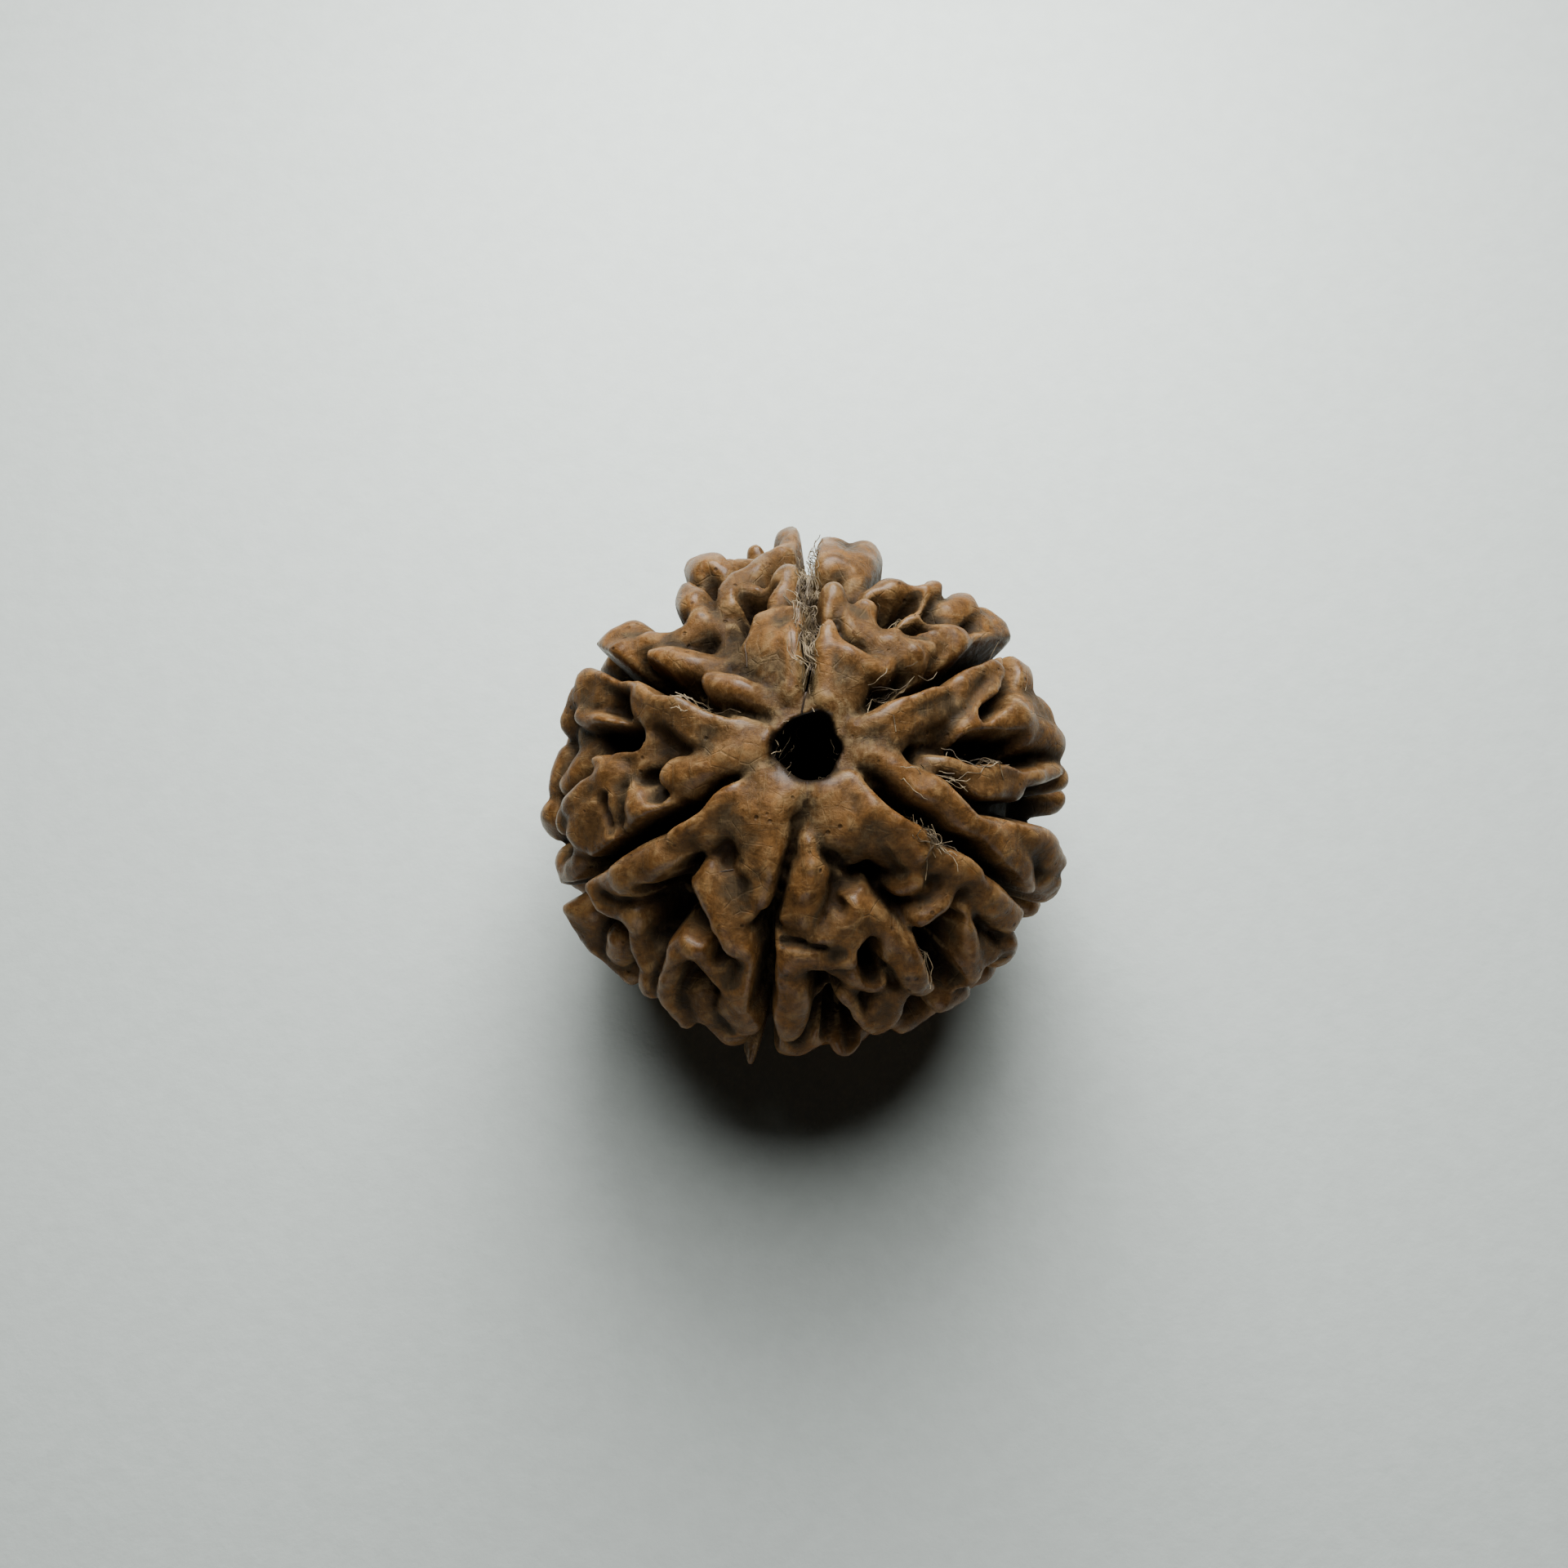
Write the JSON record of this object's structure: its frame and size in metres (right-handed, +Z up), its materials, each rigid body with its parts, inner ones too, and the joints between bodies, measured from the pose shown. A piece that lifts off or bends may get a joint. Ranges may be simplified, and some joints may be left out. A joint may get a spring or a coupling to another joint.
{
  "type": "rudraksha bead",
  "caption": "Natural seed-stone bead: a squat rounded stone with knobbly branching ridges, deep meridian grooves and a thread hole along its axis.",
  "frame": {"origin": "on the surface the bead rests on, under the middle of its bounding box", "axes": "+Z up along the thread hole, -Y towards the viewer of the picture, +X to the viewer's right"},
  "size_m": [0.0217, 0.0221, 0.0168],
  "materials": {
    "dried_stone": "waxy satin, orange-brown on the crests, dusty taupe in the hollows"
  },
  "bodies": {
    "root": {"bead": "dried_stone"}
  },
  "joints": []
}
